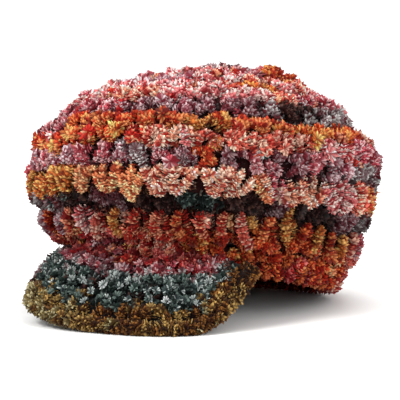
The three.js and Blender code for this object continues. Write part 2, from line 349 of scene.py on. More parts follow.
def chenille(slot):
    if slot in finishes:
        return finishes[slot]
    material = bpy.data.materials.new("chenille_" + slot)
    material.use_nodes = True
    nodes, links = material.node_tree.nodes, material.node_tree.links
    shader = nodes["Principled BSDF"]
    shader.inputs["Roughness"].default_value = pileFinish["roughness"]
    shader.inputs["Sheen Weight"].default_value = pileFinish["sheen"]
    shader.inputs["Sheen Roughness"].default_value = pileFinish["sheenRoughness"]
    shader.inputs["Specular IOR Level"].default_value = pileFinish["specular"]
    yarn = nodes.new("ShaderNodeAttribute")
    yarn.attribute_name = "yarn"
    where = nodes.new("ShaderNodeTexCoord")
    fine = nodes.new("ShaderNodeTexNoise")
    fine.inputs["Scale"].default_value = pileFinish["fine"]
    fine.inputs["Detail"].default_value = pileFinish["detail"]
    spread = nodes.new("ShaderNodeMapRange")
    spread.inputs["From Min"].default_value = pileFinish["noiseFrom"][0]
    spread.inputs["From Max"].default_value = pileFinish["noiseFrom"][1]
    spread.inputs["To Min"].default_value = pileFinish["noiseTo"][0]
    spread.inputs["To Max"].default_value = pileFinish["noiseTo"][1]
    blend = nodes.new("ShaderNodeMix")
    blend.data_type = "RGBA"
    blend.blend_type = "MULTIPLY"
    blend.inputs["Factor"].default_value = 1.0
    bump = nodes.new("ShaderNodeBump")
    bump.inputs["Strength"].default_value = pileFinish["bump"]
    bump.inputs["Distance"].default_value = pileFinish["bumpDistance"]
    links.new(where.outputs["Object"], fine.inputs["Vector"])
    links.new(fine.outputs["Fac"], spread.inputs["Value"])
    links.new(yarn.outputs["Color"], blend.inputs[6])
    links.new(spread.outputs["Result"], blend.inputs[7])
    links.new(blend.outputs[2], shader.inputs["Base Color"])
    links.new(fine.outputs["Fac"], bump.inputs["Height"])
    links.new(bump.outputs["Normal"], shader.inputs["Normal"])
    finishes[slot] = material
    return material


# The yarn at an angle of a round, by its chart: "-60 crimson, -35 scarlet" has crimson at -60 degrees.
# Between two stops chance picks one or the other, and the change is this much steeper than even.
changeSteepness = 1.6


def yarnAt(chart, angle):
    turn = angle % 360
    stops = sorted((int(a) % 360, name) for a, name in (stop.split() for stop in chart.split(", ")))
    before = [s for s in stops if s[0] <= turn] or [(stops[-1][0] - 360, stops[-1][1])]
    after = [s for s in stops if s[0] > turn] or [(stops[0][0] + 360, stops[0][1])]
    low, high = before[-1], after[0]
    share = (turn - low[0]) / (high[0] - low[0])
    share = min(1, max(0, (share - 0.5) * changeSteepness + 0.5))
    return high[1] if rng.random() < share else low[1]


# Stitches as strands. Each strand has four points: across in stitch widths, up in round heights, and
# out of the surface in millimetres.
stitches = {
    "fan": [
        [(0.02, -0.12, -5.0), (-0.10, 0.20, 1.5), (-0.40, 0.62, 3.0), (-0.42, 1.0, -3.6)],
        [(0.0, -0.2, -4.5), (-0.02, 0.25, 3.4), (-0.01, 0.62, 3.6), (0.0, 1.05, -2.5)],
        [(-0.02, -0.12, -5.0), (0.10, 0.20, 1.5), (0.40, 0.62, 3.0), (0.42, 1.0, -3.6)],
    ],
    "vee": [
        [(-0.02, -0.18, -4.5), (-0.08, 0.14, 2.6), (-0.30, 0.6, 4.2), (-0.34, 1.04, -4.0)],
        [(0.04, -0.16, -4.5), (0.10, 0.16, 2.6), (0.30, 0.6, 4.2), (0.34, 1.02, -4.0)],
        [(-0.26, 0.95, -3.0), (-0.1, 0.66, 0.6), (0.1, 0.66, 0.6), (0.26, 0.95, -3.0)],
    ],
    "puff": [
        [(-0.06, 0.0, -5.0), (-0.46, 0.2, 1.5), (-0.42, 0.85, 2.6), (-0.02, 1.0, -3.5)],
        [(0.06, 0.0, -5.0), (0.44, 0.2, 1.8), (0.4, 0.8, 3.0), (0.06, 1.0, -3.5)],
        [(-0.2, 0.7, 0.0), (0.0, 0.55, 3.0), (0.1, 0.4, 3.0), (0.12, 0.1, -1.0)],
    ],
    "hook": [
        [(-0.02, -0.75, -3.0), (-0.24, -0.1, 3.4), (-0.16, 0.95, 5.2), (0.26, 0.98, -1.0)],
        [(0.44, -0.1, -5.0), (0.42, 0.2, -2.8), (0.36, 0.55, -2.4), (0.26, 0.8, -4.0)],
    ],
    "knot": [
        [(-0.44, 0.1, -4.5), (-0.22, 0.45, 2.2), (0.2, 0.5, 3.0), (0.40, 0.15, -3.5)],
        [(0.12, -0.15, -4.5), (0.3, 0.4, 2.0), (-0.24, 0.7, 3.2), (-0.1, 1.1, -4.0)],
        [(-0.34, 0.95, -4.0), (-0.1, 0.8, 2.0), (0.3, 0.62, 2.0), (0.42, 1.0, -4.0)],
    ],
    "post": [
        [(-0.24, -0.15, -3.5), (-0.28, 0.25, -1.2), (-0.22, 0.7, -1.0), (-0.22, 1.12, -3.0)],
        [(0.26, -0.15, -3.5), (0.22, 0.3, -1.2), (0.28, 0.7, -1.0), (0.26, 1.12, -3.0)],
    ],
    "tuft": [[(0.0, 0.5, -1.4), (0.0, 0.5, 0.2), (0.0, 0.5, 1.8), (0.0, 0.5, 3.4)]],
    "tight": [
        [(-0.42, 0.1, -2.5), (-0.3, 0.45, 0.2), (-0.1, 0.7, 0.2), (0.06, 1.0, -1.5)],
        [(0.46, 0.0, -2.5), (0.36, 0.3, 0.2), (0.2, 0.6, 0.2), (0.06, 0.95, -1.5)],
    ],
    "between": [[(0.5, -0.1, -5.4), (0.5, 0.3, -4.8), (0.5, 0.7, -4.8), (0.5, 1.1, -5.4)]],
    "seam": [[(-0.62, 0.0, -5.4), (-0.2, 0.05, -4.6), (0.2, -0.05, -4.6), (0.62, 0.0, -5.4)]],
}
# how far a strand's points stray, how much a whole stitch turns, grows and shifts by chance, and the
# odds of a fleck and of a vee among the fans
chances = {
    "across": 0.06, "up": 0.06, "outMm": 0.5, "turn": 0.26, "grow": 0.1, "standMm": 0.9, "rise": 0.08,
    "glow": 0.12, "fleck": 0.14, "radius": (0.9, 1.1), "middle": 0.07, "vee": 0.2,
}

# how often a stitch ends in a tuft that shows its pile from the end, how big and how far from its
# middle
tufts = {
    "share": {"fan": 0.25, "vee": 0.3, "hook": 0.1, "puff": 0.9, "knot": 0.6}, "grow": 1.3,
    "wander": (0.24, 0.16),
}

# The crown's form from the band up, as in the frame
crownShape = {
    "height": [0.0183, 0.029, 0.043, 0.060, 0.0755, 0.088, 0.099, 0.111, 0.1215, 0.130, 0.137, 0.142,
               0.1455, 0.148, 0.150],
    "wide": [0.099, 0.109, 0.1145, 0.117, 0.120, 0.118, 0.113, 0.103, 0.090, 0.076, 0.062, 0.048,
             0.033, 0.019, 0.004],
    "long": [0.110, 0.121, 0.127, 0.130, 0.133, 0.131, 0.126, 0.116, 0.101, 0.086, 0.070, 0.053,
             0.037, 0.021, 0.004],
    "back": [0.011, 0.007, 0.0, -0.005, -0.004, -0.004, -0.008, -0.010, -0.009, -0.008, -0.005, 0.0,
             0.006, 0.011, 0.015],
    "left": [0.0, -0.001, -0.001, 0.0, 0.0, 0.0, 0.0, -0.001, -0.001, -0.001, 0.0, 0.002, 0.006, 0.010,
             0.013],
}
crownWall = 0.008
# how deep the strands lie in the frame's crown and how high they reach, and over what steps its slope
# is taken; above "topFrom" the steps are shorter and the seams wander less
crownSet = {
    "sunk": 0.0026, "deepest": 0.0058, "highest": 0.1499, "turnStep": 0.04, "step": 0.008,
    "topFrom": 0.118, "topStep": 0.003, "topCalm": 0.3,
}

# The crown's rounds: where each begins, what is worked in it and how often, how thick its strands
# are, how far it stands out in millimetres, its shade, how wide its pile is spaced, its flecks, and
# its yarns by angle from the front towards the wearer's left. The shade lightens or darkens the
# yarn, partly as painted light and shade: lighter on the dome, darker in the lowest rounds and
# darkest in the recessed round
roundKeys = ["name", "from", "stitch", "count", "radius", "out", "shade", "spacing", "flecks", "chart"]
crownRounds = [dict(zip(roundKeys, row)) for row in [
    ("rim", 0.0183, "knot", 50, 0.0038, -0.8, 0.94, 0.85, "peach crimson gold coral",
     "-60 crimson, -35 scarlet, -20 crimson, -8 scarlet, 8 scarlet, 25 rust, 40 rust, 70 rust, "
     "84 ember, 96 rust, 110 coral, 130 rose, 160 crimson, 200 rust, 240 coral, 275 crimson"),
    ("lowest", 0.027, "hook", 44, 0.0046, 0.9, 0.84, 0.75, "gold scarlet rust",
     "-60 lilac, -25 blush, -8 coral, 4 scarlet, 12 scarlet, 20 ember, 29 coral, 40 peach, 44 coral, "
     "52 ember, 58 gold, 64 ember, 72 rust, 82 gold, 92 ember, 102 coral, 118 rose, 150 plum, "
     "190 ember, 235 gold, 270 rose"),
    # the recessed round is painted darker, painted shade where it lies sunk below its neighbours
    ("recessed", 0.0378, "knot", 44, 0.0041, -2.1, 0.5, 1.0, "teal crimson plum slate",
     "-60 smoke, -35 plum, -20 night, 0 plum, 12 night, 28 teal, 38 night, 54 night, 64 plum, "
     "70 night, 84 night, 92 plum, 99 lilac, 110 smoke, 130 night, 230 night, 270 plum"),
    ("fans", 0.0503, "fan", 38, 0.0046, 0.8, 1.2, 0.68, "coral peach rose",
     "-80 ember, -50 gold, -22 gold, -12 peach, 2 peach, 8 cream, 78 cream, 86 blush, 100 coral, "
     "112 ember, 140 gold, 175 gold, 200 peach, 225 cream, 255 coral"),
    ("belly_1", 0.0685, "knot", 46, 0.0041, -0.6, 1.12, 0.8, "crimson smoke slate scarlet rose",
     "-60 rose, -30 lilac, -12 rose, 0 lilac, 8 smoke, 14 rose, 26 plum, 30 ember, 34 plum, 45 rose, "
     "60 plum, 72 rose, 84 lilac, 100 smoke, 125 plum, 170 lilac, 220 smoke, 265 plum"),
    ("belly_2", 0.083, "puff", 40, 0.0044, 0.4, 1.22, 0.72, "blush scarlet gold",
     "-90 rust, -40 ember, -18 ember, 0 scarlet, 14 coral, 25 cream, 31 coral, 70 coral, 85 blush, "
     "100 rose, 125 lilac, 160 ember, 200 scarlet, 240 coral"),
    ("shoulder", 0.0955, "fan", 42, 0.0041, 0.3, 1.0, 0.8, "gold scarlet rust",
     "-90 rose, -40 rose, -25 rust, -5 ember, 18 ember, 32 gold, 42 ember, 62 ember, 74 flame, "
     "98 flame, 115 coral, 150 rose, 200 rust, 235 gold"),
    ("turn", 0.106, "knot", 40, 0.0039, -0.8, 1.1, 1.0, "rose crimson night",
     "-90 plum, -30 rose, 0 plum, 25 lilac, 38 plum, 58 smoke, 66 night, 78 smoke, 105 smoke, "
     "140 lilac, 190 plum"),
    # the dome's rounds are painted lighter than their yarn, painted light on the top of the cap
    ("dome_1", 0.118, "puff", 36, 0.004, 0.3, 1.23, 0.85, "cream scarlet",
     "-90 rose, -35 blush, -10 coral, 20 blush, 55 blush, 70 coral, 95 rose, 130 blush, 190 coral"),
    ("dome_2", 0.1255, "fan", 32, 0.004, 0.2, 1.23, 1.0, "cream rose",
     "-90 lilac, -30 blush, 15 blush, 42 coral, 58 flame, 68 blush, 84 coral, 98 blush, 120 rose, "
     "200 blush"),
    ("dome_3", 0.132, "knot", 26, 0.0039, -0.3, 1.23, 1.0, "rose coral smoke",
     "-90 smoke, -30 lilac, 10 lilac, 35 blush, 60 coral, 75 ember, 100 coral, 130 rose, 200 lilac"),
    ("dome_4", 0.1375, "puff", 21, 0.004, 0.2, 1.23, 1.0, "scarlet cream",
     "-90 smoke, -20 rose, 20 blush, 60 rose, 80 rust, 100 rust, 140 rose, 220 blush"),
    ("dome_5", 0.1422, "knot", 16, 0.0039, 0.0, 1.23, 1.0, "scarlet rose",
     "-90 blush, 10 blush, 50 plum, 90 rose, 200 blush"),
    ("dome_6", 0.1458, "puff", 10, 0.004, 0.0, 1.23, 1.0, "plum coral",
     "-90 blush, 30 plum, 90 rose, 200 blush"),
    ("closing", 0.1484, "knot", 5, 0.0039, 0.0, 1.23, 1.0, "rust",
     "0 rose, 180 plum"),
]]
roundTops = [r["from"] for r in crownRounds[1:]] + [crownShape["height"][-1]]
crownTree = treeOf("crown")


# The crown's smooth form at an angle in radians and a height square to the opening
def crownForm(angle, height):
    wide, long, back, left = (
        np.interp(height, crownShape["height"], crownShape[k]) for k in ("wide", "long", "back", "left")
    )
    return lying(left + wide * sin(angle), back - long * cos(angle), height)


def crownNormal(angle, height):
    turn = crownSet["turnStep"]
    across = crownForm(angle + turn, height) - crownForm(angle - turn, height)
    step = crownSet["step"] if height < crownSet["topFrom"] else crownSet["topStep"]
    above = min(height + step, crownSet["highest"])
    along = crownForm(angle, above) - crownForm(angle, max(height - step, crownShape["height"][0]))
    return unit(np.cross(across, along))


# a place on the crown: the nearest one to a point beside its smooth form, outside or inside of it
def onCrown(angle, height, out, beside=crownWall):
    normal = crownNormal(angle, height)
    hit = crownTree.find_nearest(Vector(crownForm(angle, height) + beside * normal))
    return np.array(hit[0]) + out * normal


# Works one stitch: place(across, up, out) gives a world point. Now and then a strand is a fleck of
# some other yarn.
def workStitch(pile, kind, place, radius, yarn, flecks="", loose=1.0, start=(0, 0), **more):
    names = flecks.split()
    turn = rng.normal(0, chances["turn"]) * loose
    grow = rng.normal(1, chances["grow"], 2)
    stand = rng.normal(0, chances["standMm"]) * loose
    rise = rng.normal(0, chances["rise"]) * loose
    more["shade"] = more.get("shade", 1.0) * rng.normal(1, chances["glow"])
    for strand in stitches[kind]:
        stray = rng.normal(0, 1, (4, 3)) * (chances["across"], chances["up"], chances["outMm"])
        points = []
        for (u, v, w), (du, dv, dw) in zip(strand, stray * loose):
            across, up = (u + du) * grow[0], (v + dv - 0.5) * grow[1]
            u, v = across * cos(turn) - up * sin(turn), up * cos(turn) + across * sin(turn)
            points.append(place(u + start[0], v + 0.5 + rise + start[1], (w + dw + stand) / 1000))
        isFleck = len(names) > 0 and rng.random() < chances["fleck"]
        chosen = names[rng.integers(len(names))] if isFleck else yarn
        addStrand(pile, points, radius * rng.uniform(*chances["radius"]), chosen, **more)


# the seams between rounds wander up and down by about three millimetres at most
drift = {"waves": (3, 5, 9), "heights": (0.0012, 0.0010, 0.0009)}


def driftOf(phases, angle):
    return sum(h * sin(n * angle + p) for n, h, p in zip(drift["waves"], drift["heights"], phases))


# the rounds near the top are low, so their seams wander less
def calm(height):
    return 1.0 if height < crownSet["topFrom"] else crownSet["topCalm"]


# The places of one stitch in round i: across in stitch widths and up in round heights
def inRound(i, middle, step, phases):
    low, high, outMm = crownRounds[i]["from"], roundTops[i], crownRounds[i]["out"]

    def place(u, v, out):
        angle = middle + u * step
        bottom = low + driftOf(phases[i], angle) * calm(low) * (i > 0)
        top = high + driftOf(phases[i + 1], angle) * calm(high)
        height = max(bottom + v * (top - bottom), crownShape["height"][0])
        depth = max(out + outMm / 1000 - crownSet["sunk"], -crownSet["deepest"])
        return onCrown(angle, min(height, crownSet["highest"]), depth)

    return place


# the strands behind the stitches, darkened as painted shade where they show between them
behind = {"radius": 0.0040, "spacing": 2.2, "shade": 0.18, "loose": 0.5}


# every second round is worked half a stitch further on
def workRound(i, phases, pile, ends, under):
    spec = crownRounds[i]
    step = 2 * pi / spec["count"]
    flecks, radius, shade = spec["flecks"], spec["radius"], spec["shade"]
    for k in range(spec["count"]):
        middle = (k + 0.5 * (i % 2) + rng.normal(0, chances["middle"])) * step
        yarn = yarnAt(spec["chart"], middle * 180 / pi)
        place = inRound(i, middle, step, phases)
        isVee = spec["stitch"] == "fan" and rng.random() < chances["vee"]
        kind = "vee" if isVee else spec["stitch"]
        workStitch(pile, kind, place, radius, yarn, flecks, shade=shade, spacing=spec["spacing"])
        if rng.random() < tufts["share"][kind]:
            start = rng.normal(0, tufts["wander"])
            wide = radius * tufts["grow"]
            workStitch(ends, "tuft", place, wide, yarn, flecks, start=start, shade=shade)
        for strand in ("seam", "between"):
            workStitch(under, strand, place, yarn=yarn, **behind)


# where an end of the yarn stands up near the top, and the tuft in the middle that closes the crown
looseEnd = {
    "count": 3, "angle": radians(76), "height": 0.137, "rise": 0.006, "step": 0.12, "out": 0.0012,
    "radius": 0.0044, "apart": 0.4,
}
closingTuft = {"depths": (0.004, 0.003, 0.002, 0.001), "radius": 0.0062}


def inLooseEnd(u, v, out):
    angle = looseEnd["angle"] + u * looseEnd["step"]
    return onCrown(angle, looseEnd["height"] + v * looseEnd["rise"], out + looseEnd["out"])


# the rounds that begin a piece of their own
pieceStarts = [*range(10), 11]


def workCrown():
    under, ends = newPile(), newPile()
    phases = rng.uniform(0, 2 * pi, (len(crownRounds) + 1, len(drift["waves"])))
    for first, last in zip(pieceStarts, pieceStarts[1:] + [len(crownRounds)]):
        pile = newPile()
        for i in range(first, last):
            workRound(i, phases, pile, ends, under)
        buildPile("crown_" + crownRounds[first]["name"], pile, pileDisc, "crown", "crown_yarn")
    for k in range(looseEnd["count"]):
        start = (looseEnd["apart"] * (k - 1), 0)
        workStitch(ends, "puff", inLooseEnd, looseEnd["radius"], "rust", "flame", start=start)
    top = crownForm(0, crownShape["height"][-1])
    points = [top - (0, 0, depth) for depth in closingTuft["depths"]]
    addStrand(ends, points, closingTuft["radius"], "rose")
    buildPile("crown_tufts", ends, rosetteDisc, "crown", "crown_yarn")
    buildPile("crown_under", under, pileDisc, "crown", "crown_yarn")


workCrown()
print("crown worked")


# The wall behind the stitches: a piece of the frame, drawn in, whose colour is painted shade,
# dark where it shows between them. It keeps its edge where it meets the next piece.
shellHabit = {"weld": 0.00002, "seam": 0.0008, "floor": 0.0015, "glow": (0.7, 1.3)}


def groundShell(name, node, slot, settings):
    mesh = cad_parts[node].data.copy()
    obj = bpy.data.objects.new(name, mesh)
    bpy.context.scene.collection.objects.link(obj)
    mesh.materials.clear()
    makeActive(obj)
    bpy.ops.object.mode_set(mode="EDIT")
    bpy.ops.mesh.select_all(action="SELECT")
    bpy.ops.mesh.remove_doubles(threshold=shellHabit["weld"])
    bpy.ops.mesh.normals_make_consistent(inside=False)
    bpy.ops.object.mode_set(mode="OBJECT")
    corners = np.array([v.co[:] for v in mesh.vertices])
    normals = np.array([v.normal[:] for v in mesh.vertices])
    outside = ((corners - capMiddle) * normals).sum(1) > 0
    depth = np.where(outside, *settings["insets"])
    if settings["meets"]:
        tree = treeOf(settings["meets"])
        away = np.array([tree.find_nearest(Vector(c))[3] for c in corners])
        depth = np.where(away < shellHabit["seam"], 0.0, depth)
    corners -= depth[:, None] * normals
    corners[:, 2] = np.maximum(corners[:, 2], shellHabit["floor"])
    mesh.vertices.foreach_set("co", corners.astype(np.float32).ravel())
    mesh.update()
    for stale in list(mesh.color_attributes):
        mesh.color_attributes.remove(stale)
    paintYarnAndShade(mesh, toLinear(settings["tone"]) * rng.uniform(*shellHabit["glow"], (len(corners), 1)))
    mesh.materials.append(chenille(slot))
    bpy.ops.object.shade_smooth()
    finishPiece(obj, node)


# the crown's ground is painted shade, a nearly black red
crownGround = {"insets": (0.0054, 0.0010), "tone": (0.13, 0.03, 0.03), "meets": "band"}
groundShell("crown_ground", "crown", "crown_yarn", crownGround)

# Inside, the rounds show as flat rings of yarn that run round the crown, two to a round, each in
# runs about as long as "run"
rings = {
    "shares": (0.25, 0.75), "run": 0.034, "fewest": 6, "along": (-0.08, 0.33, 0.67, 1.08),
    "dips": (0.0026, 0.0012, 0.0012, 0.0026), "radius": 0.0038, "spacing": 2.1, "shade": 0.75,
}


def workInside():
    pile = newPile()
    for spec, top in zip(crownRounds[:-1], roundTops):
        for share in rings["shares"]:
            height = spec["from"] + share * (top - spec["from"])
            wide = np.interp(height, crownShape["height"], crownShape["wide"])
            runs = max(rings["fewest"], int(2 * pi * (wide - crownWall) / rings["run"]))
            step = 2 * pi / runs
            for k in range(runs):
                yarn = yarnAt(spec["chart"], (k + 0.5) * step * 180 / pi)
                points = [
                    onCrown((k + q) * step, height, dip, -2 * crownWall)
                    for q, dip in zip(rings["along"], rings["dips"])
                ]
                addStrand(pile, points, rings["radius"], yarn, None, rings["spacing"], rings["shade"])
    buildPile("crown_inside", pile, pileDisc, "crown", "crown_yarn")


workInside()
print("inside worked")

# The band: two rows outside, wraps under its edge, and one row inside. The rows begin at "foot", and
# each is as tall as "tall", in shares of the band's height. The wraps go by steps out and up.
band = {
    "count": 58, "radius": 0.0039, "shade": 1.12, "flecks": "peach gold crimson ember",
    "rows": ["tight", "knot"], "foot": 0.06, "tall": 0.47,
    "chart": "-90 rose, -50 crimson, -20 rose, 5 coral, 25 rust, 52 rust, 58 crimson, 64 rust, "
             "70 crimson, 76 rust, 86 ember, 98 rust, 108 coral, 125 crimson, 160 rust, 215 crimson",
}
bandInside = {"foot": 0.1, "tall": 0.8, "radius": 0.0034, "spacing": 1.4, "shade": 0.8}
wrap = {
    "steps": [(0.0015, 0.0045), (-0.001, 0.0010), (-0.008, 0.0010), (-0.0105, 0.0045)],
    "turn": 0.3, "sunk": 0.0008,
}
# the band's ground is painted shade, a nearly black red
bandGround = {"insets": (0.0018, 0.0018), "tone": (0.14, 0.03, 0.03), "meets": "crown"}


def onBand(angle, height, out):
    grow = out + rim["flare"] * height / rim["height"]
    x = (rim["halfWide"] + grow) * sin(angle)
    return lying(x, rim["back"] - (rim["halfLong"] + grow) * cos(angle), height)


def inBandRow(middle, step, row):
    def place(u, v, out):
        turn = middle + (u + 0.5 * row) * step
        return onBand(turn, rim["height"] * (band["foot"] + band["tall"] * (row + v)), out)

    return place


def insideBand(middle, step):
    def place(u, v, out):
        height = rim["height"] * (bandInside["foot"] + bandInside["tall"] * v)
        return onBand(middle + u * step, height, -rim["wall"] - out)

    return place


def workBand():
    pile, hidden = newPile(), newPile()
    step = 2 * pi / band["count"]
    for k in range(band["count"]):
        middle = k * step
        yarn = yarnAt(band["chart"], middle * 180 / pi)
        for row, kind in enumerate(band["rows"]):
            place = inBandRow(middle, step, row)
            workStitch(pile, kind, place, band["radius"], yarn, band["flecks"], shade=band["shade"])
        workStitch(hidden, "tight", insideBand(middle, step), bandInside["radius"], yarn,
                   spacing=bandInside["spacing"], shade=bandInside["shade"])
        points = [
            onBand(middle + wrap["turn"] * j * step, up, out - wrap["sunk"])
            for j, (out, up) in enumerate(wrap["steps"])
        ]
        addStrand(pile, points, band["radius"], yarn)
    buildPile("band_stitches", pile, pileDisc, "band", "band_yarn")
    buildPile("band_inside", hidden, pileDisc, "band", "band_yarn")
    groundShell("band_ground", "band", "band_yarn", bandGround)


workBand()
print("band worked")

# The peak: rounds of stitches across the sheet from the band to the edging, with rosettes of pile
peak = {
    "halfAngle": radians(40), "rootHeight": 0.0055,
    "halfWide": 0.079, "front": -0.148, "shoulder": -0.066, "squareness": 2.8,
    "edgingHalfWide": 0.0065, "edgingHalfThick": 0.0052,
    "heldShare": 0.95, "slopeShare": 0.08,  # further out, a place follows the sheet's last slope
}
peakTree = treeOf("peak")
edgingTree = treeOf("peak_edging")


def edgeLine(turn):
    power = 2 / peak["squareness"]
    x = peak["halfWide"] * np.sign(sin(turn)) * abs(sin(turn)) ** power
    y = peak["shoulder"] + (peak["front"] - peak["shoulder"]) * abs(cos(turn)) ** power
    return np.array([x, y + rim["shift"], 0.0])


# Onto a sheet from above or from below: the height to look from, straight down or up, and the height
# to take the nearest place from where the look misses the sheet
fromFar = {"above": (0.3, -1, 0.09), "below": (-0.1, 1, -0.03)}


def onSheet(tree, x, y, fromAbove):
    start, way, missed = fromFar["above" if fromAbove else "below"]
    hit = tree.ray_cast(Vector((x, y, start)), Vector((0, 0, way)))
    if hit[0] is None:
        hit = tree.find_nearest(Vector((x, y, missed)))
    return np.array(hit[0])


# the slope is taken over a short step, and where it is too steep to trust, it is made less so
slope = {"step": 0.006, "least": 0.35, "lift": 0.6}


def sheetNormal(spot, x, y, fromAbove):
    east = onSheet(peakTree, x + slope["step"], y, fromAbove)
    north = onSheet(peakTree, x, y + slope["step"], fromAbove)
    normal = np.cross(east - spot, north - spot)
    normal = unit(normal) if np.linalg.norm(normal) > tiny else np.array([0, 0, 1.0])
    return normal if normal[2] > slope["least"] else unit(normal * (1, 1, 0) + (0, 0, slope["lift"]))


# a place on the sheet: across it from -1 to 1, and out from the band to the edge
def onPeak(across, out, lift, fromAbove=True):
    share = max(-1, min(1, across)) * peak["heldShare"]
    root = onBand(peak["halfAngle"] * share, peak["rootHeight"], 0)
    edge = edgeLine(pi / 2 * share)
    edge += unit(np.array([root[0] - edge[0], root[1] - edge[1], 0])) * peak["edgingHalfWide"]
    held = min(out, peak["heldShare"])
    flat = root + (edge - root) * held
    spot = onSheet(peakTree, flat[0], flat[1], fromAbove)
    normal = sheetNormal(spot, flat[0], flat[1], fromAbove)
    if out > held:
        nearer = root + (edge - root) * (held - peak["slopeShare"])
        nearer = onSheet(peakTree, nearer[0], nearer[1], fromAbove)
        spot = spot + (spot - nearer) * (out - held) / peak["slopeShare"]
    return spot + (lift if fromAbove else -lift) * normal


# its rounds from the band outwards: their shade, flecks and chart; the first two rounds are
# darkened as painted shadow where the crown hangs over them
peakRounds = [
    (0.5, "scarlet plum", "-40 night, -25 crimson, -2 crimson, 6 scarlet, 12 crimson, 40 crimson"),
    (0.6, "scarlet rose", "-40 night, -28 crimson, -15 crimson, 0 scarlet, 8 crimson, 40 crimson"),
    (0.75, "lilac rose", "-40 night, -25 smoke, -5 plum, 10 rose, 25 crimson, 40 crimson"),
    (0.75, "slate plum", "-40 teal, -25 teal, 0 slate, 20 teal, 34 crimson, 40 night"),
    (0.56, "slate night", "-40 teal, 0 teal, 30 teal, 40 umber"),
    (0.56, "slate olive", "-40 teal, 0 teal, 24 teal, 36 umber"),
]
# its stitches above the sheet and below it: where a round's stitches begin and how long they are, in
# rounds
peakStitch = {
    "count": 15, "radius": 0.0043, "halfTurn": 40, "facing": np.array([0.0, -0.4, 0.9]),
    "above": (1.08, 1.1), "below": (1, 1),
}
# the seam strands are darkened by half, painted shade where they show between the stitches
peakSeam = {"radius": 0.0040, "spacing": 1.5, "shade": 0.5}
peakPost = {"radius": 0.0046, "spacing": 1.3}
# the peak's ground is painted shade, nearly black
peakGround = {"insets": (0.0016, 0.0016), "tone": (0.04, 0.04, 0.05), "meets": None}
# lines of rosettes: how far out each lies, the share that is bright, how many it has, their radius
# and their yarns; the first line has dark yarns and few bright rosettes, partly as painted shadow
# under the crown
rosetteRows = [
    (0.22, 0.3, 6, 0.0034, "plum crimson crimson"),
    (0.34, 0.5, 12, 0.0034, "rose plum crimson"),
    (0.46, 0.6, 16, 0.0034, "lilac rose smoke"),
    (0.60, 0.5, 21, 0.0034, "slate teal smoke"),
    (0.74, 0.65, 24, 0.0035, "slate slate teal"),
    (0.88, 0.65, 24, 0.0036, "slate slate teal"),
    (0.99, 0.6, 14, 0.0034, "slate teal olive"),
]
# how the rosettes lie and lean, and how far their place, lean, size and glow wander
rosetteHabit = {
    "side": 0.94, "across": 0.25, "out": 0.02, "lift": 0.0028, "tip": 0.0048,
    "forward": np.array([0.2, -0.9, 0.3]), "wander": 0.3, "lean": 0.7, "spread": (0.85, 1.15),
}


def inPeakRound(i, middle, step, fromAbove):
    foot, tall = peakStitch["above"] if fromAbove else peakStitch["below"]

    def place(u, v, out):
        return onPeak(middle + u * step, (i + foot - tall * v) / len(peakRounds), out, fromAbove)

    return place


def workPeak():
    pile, hidden = newPile(), newPile()
    up = peakStitch["facing"]
    step = 2 / peakStitch["count"]
    for i, (shade, flecks, chart) in enumerate(peakRounds):
        for k in range(peakStitch["count"]):
            middle = -1 + (k + 0.5) * step
            yarn = yarnAt(chart, middle * peakStitch["halfTurn"])
            place = inPeakRound(i, middle, step, True)
            placeUnder = inPeakRound(i, middle, step, False)
            workStitch(pile, "knot", place, peakStitch["radius"], yarn, flecks, facing=up, shade=shade)
            workStitch(hidden, "seam", place, yarn=yarn, facing=up, **peakSeam)
            workStitch(hidden, "post", placeUnder, yarn=yarn, facing=-up, shade=shade, **peakPost)
    buildPile("peak_stitches", pile, pileDisc, "peak", "peak_yarn")
    buildPile("peak_under", hidden, pileDisc, "peak", "peak_yarn")
    groundShell("peak_ground", "peak", "peak_yarn", peakGround)


def workRosettes():
    pile = newPile()
    habit = rosetteHabit
    for rowOut, brightShare, count, radius, words in rosetteRows:
        names = words.split()
        for k in range(count):
            share = k + 0.5 + rng.normal(0, habit["across"])
            across = -habit["side"] + 2 * habit["side"] * share / count
            out = rowOut + rng.normal(0, habit["out"])
            spot = onPeak(across, out, habit["lift"])
            normal = unit(onPeak(across, out, habit["tip"]) - spot)
            forward = unit(habit["forward"] + rng.normal(0, habit["wander"], 3))
            one = {
                "at": spot, "along": unit(normal + habit["lean"] * forward), "facing": (1.0, 0.0, 0.0),
                "radius": radius * rng.uniform(*habit["spread"]),
                "yarn": yarnNames.index(names[rng.integers(len(names))]),
                "bright": rng.random() < brightShare, "glow": rng.uniform(*habit["spread"]),
            }
            for key, value in one.items():
                pile[key].append(np.array([value]))
    buildPile("peak_rosettes", pile, rosetteDisc, "peak", "peak_yarn")


workPeak()
workRosettes()
print("peak worked")

# The edging: short strands in all directions, close together round the edge. Its chart goes by
# hundredths of its length.
edging = {
    "first": 0.002, "spacing": 0.0046, "around": 6, "radius": 0.0034, "radiusSpread": (0.85, 1.2),
    "length": 0.0075, "shade": 0.9, "flecks": "olive moss umber", "fleck": 0.2,
    "endAngle": radians(45), "endOut": 0.008, "slopeStep": 0.004, "turnSpread": 0.15,
    "spinSpread": 0.9, "along": (-0.5, -0.17, 0.17, 0.5), "bulge": 0.9, "sunk": 0.001,
    "chart": "0 night, 8 smoke, 15 night, 19 moss, 32 moss, 44 olive, 56 umber, 64 olive, 74 umber, "
             "88 olive, 96 umber",
}
# the row that closes the edging over the end of the sheet, and the stretch of the chart it has
lip = {
    "count": 27, "radius": 0.0036, "out": 1.10, "width": 0.16, "sunk": 0.0012,
    "facing": np.array([0.0, -0.8, 0.6]), "chartMiddle": 50, "chartReach": 36,
}
# the edging's ground is painted shade, a dark brown
edgingGround = {"insets": (0.0012, 0.0012), "tone": (0.10, 0.06, 0.03), "meets": None}


